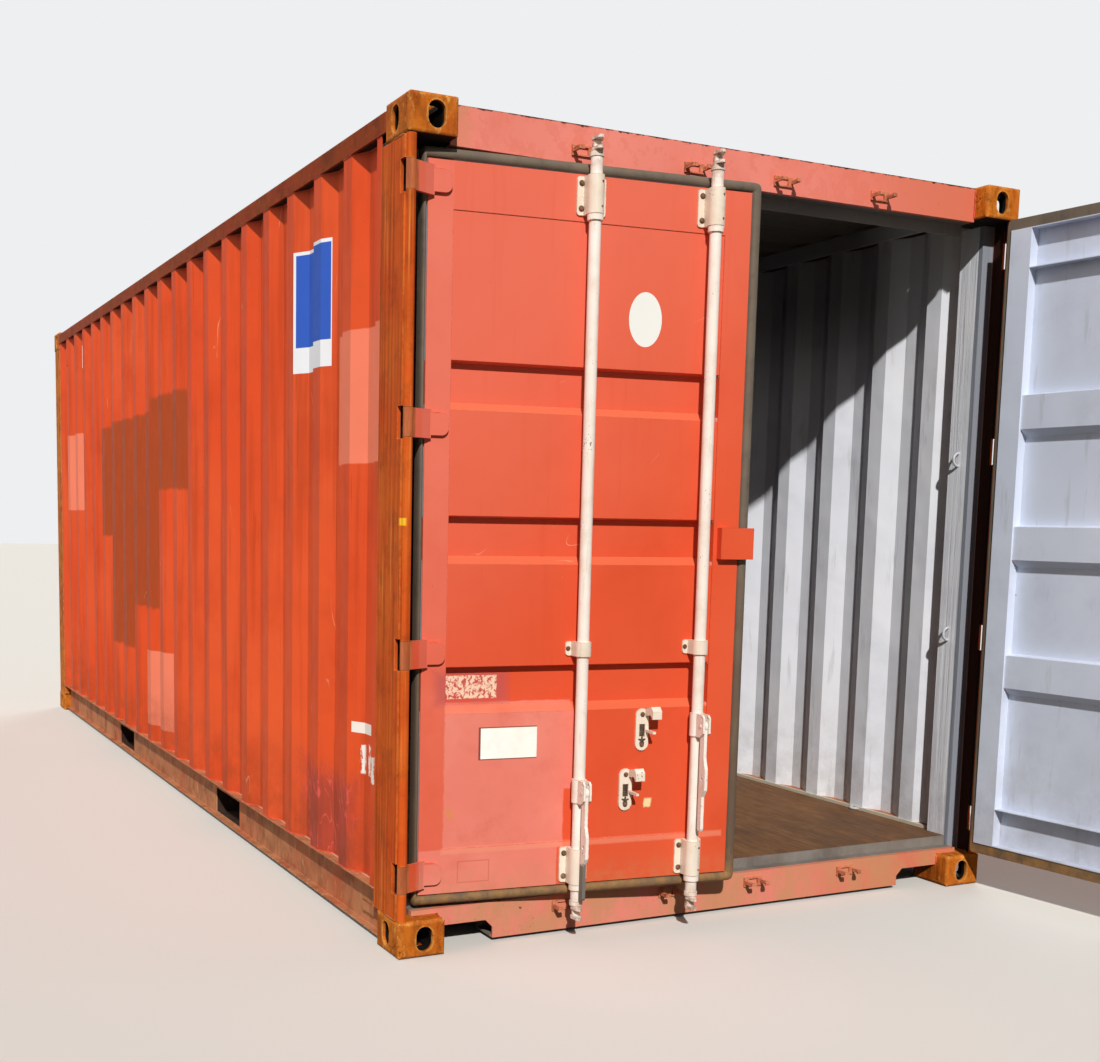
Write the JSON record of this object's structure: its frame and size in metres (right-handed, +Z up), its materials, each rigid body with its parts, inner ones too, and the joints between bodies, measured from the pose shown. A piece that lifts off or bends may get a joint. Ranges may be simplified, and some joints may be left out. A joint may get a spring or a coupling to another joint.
{
  "type": "shipping container",
  "caption": "Corrugated steel freight container with two hinged end doors, turning lock rods and lifting handles; one door stands open.",
  "frame": {"origin": "middle of the underside of the four bottom corner castings, at ground level", "axes": "+X along the length to the door end, +Y across to the side of the open right door, +Z up"},
  "size_m": [7.2148, 2.589, 2.591],
  "materials": {
    "red_paint": "faded semi-matt",
    "rusty_steel": "rusty",
    "cream_paint": "worn",
    "grey_paint": "matt",
    "seal_rubber": "matt",
    "plywood": "worn",
    "bare_steel": "dull",
    "white_plate": "matt"
  },
  "bodies": {
    "container": {"top_corner_castings": "rusty_steel", "bottom_corner_castings": "rusty_steel", "left_door_post": "rusty_steel", "right_door_post": "rusty_steel", "front_posts": "rusty_steel", "door_header": "red_paint", "door_sill": "red_paint", "front_top_rail": "rusty_steel", "front_sill": "rusty_steel", "left_top_rail": "rusty_steel", "right_top_rail": "rusty_steel", "left_bottom_rail": "rusty_steel", "right_bottom_rail": "rusty_steel", "left_side_wall": "red_paint", "right_side_wall": "red_paint", "front_wall": "red_paint", "roof_sheet": "red_paint", "floor_boards": "plywood", "cross_members": "rusty_steel", "forklift_pockets": "rusty_steel", "cam_keepers": "rusty_steel", "hinge_pins": "bare_steel", "lashing_rings": "grey_paint", "vents": "red_paint"},
    "left_door": {"left_door_frame": "red_paint", "left_door_sheet": "red_paint", "left_door_seal": "seal_rubber", "left_hinge_blades": "red_paint", "left_rod_brackets": "cream_paint", "left_retainers": "cream_paint", "blank_plate": "white_plate"},
    "right_door": {"right_door_frame": "red_paint", "right_door_sheet": "red_paint", "right_door_seal": "seal_rubber", "right_hinge_blades": "red_paint", "right_rod_brackets": "cream_paint", "right_retainers": "cream_paint"},
    "left_outer_rod": {"left_outer_rod": "cream_paint"},
    "left_outer_handle": {"left_outer_handle": "cream_paint"},
    "left_inner_rod": {"left_inner_rod": "cream_paint"},
    "left_inner_handle": {"left_inner_handle": "cream_paint"},
    "right_inner_rod": {"right_inner_rod": "cream_paint"},
    "right_inner_handle": {"right_inner_handle": "cream_paint"},
    "right_outer_rod": {"right_outer_rod": "cream_paint"},
    "right_outer_handle": {"right_outer_handle": "cream_paint"}
  },
  "joints": [
    {"name": "left_door_hinge", "type": "hinge", "parent": "container", "child": "left_door", "pos_m": [3.011, -1.202, 1.3], "axis": [0, 0, -1], "range_deg": [-6, 252]},
    {"name": "right_door_hinge", "type": "hinge", "parent": "container", "child": "right_door", "pos_m": [3.011, 1.202, 1.3], "axis": [0, 0, 1], "range_deg": [-96, 162]},
    {"name": "left_outer_rod_turn", "type": "hinge", "parent": "left_door", "child": "left_outer_rod", "pos_m": [3.06267, -0.60513, 1.3], "axis": [0, 0, -1], "range_deg": [-90, 0]},
    {"name": "left_inner_rod_turn", "type": "hinge", "parent": "left_door", "child": "left_inner_rod", "pos_m": [3.10678, -0.18544, 1.3], "axis": [0, 0, 1], "range_deg": [-90, 0]},
    {"name": "right_inner_rod_turn", "type": "hinge", "parent": "right_door", "child": "right_inner_rod", "pos_m": [4.02756, 1.29778, 1.3], "axis": [0, 0, -1], "range_deg": [-90, 0]},
    {"name": "right_outer_rod_turn", "type": "hinge", "parent": "right_door", "child": "right_outer_rod", "pos_m": [3.60787, 1.25367, 1.3], "axis": [0, 0, 1], "range_deg": [-90, 0]},
    {"name": "left_outer_handle_lift", "type": "hinge", "parent": "left_outer_rod", "child": "left_outer_handle", "pos_m": [3.11041, -0.61015, 0.49896], "axis": [0.1045, 0.9945, 0], "range_deg": [-90, 0]},
    {"name": "left_inner_handle_lift", "type": "hinge", "parent": "left_inner_rod", "child": "left_inner_handle", "pos_m": [3.15452, -0.19046, 0.70096], "axis": [0.1045, 0.9945, 0], "range_deg": [-90, 0]},
    {"name": "right_inner_handle_lift", "type": "hinge", "parent": "right_inner_rod", "child": "right_inner_handle", "pos_m": [4.02254, 1.34552, 0.70096], "axis": [-0.9945, -0.1045, 0], "range_deg": [-90, 0]},
    {"name": "right_outer_handle_lift", "type": "hinge", "parent": "right_outer_rod", "child": "right_outer_handle", "pos_m": [3.60285, 1.30141, 0.49896], "axis": [-0.9945, -0.1045, 0], "range_deg": [-90, 0]}
  ]
}
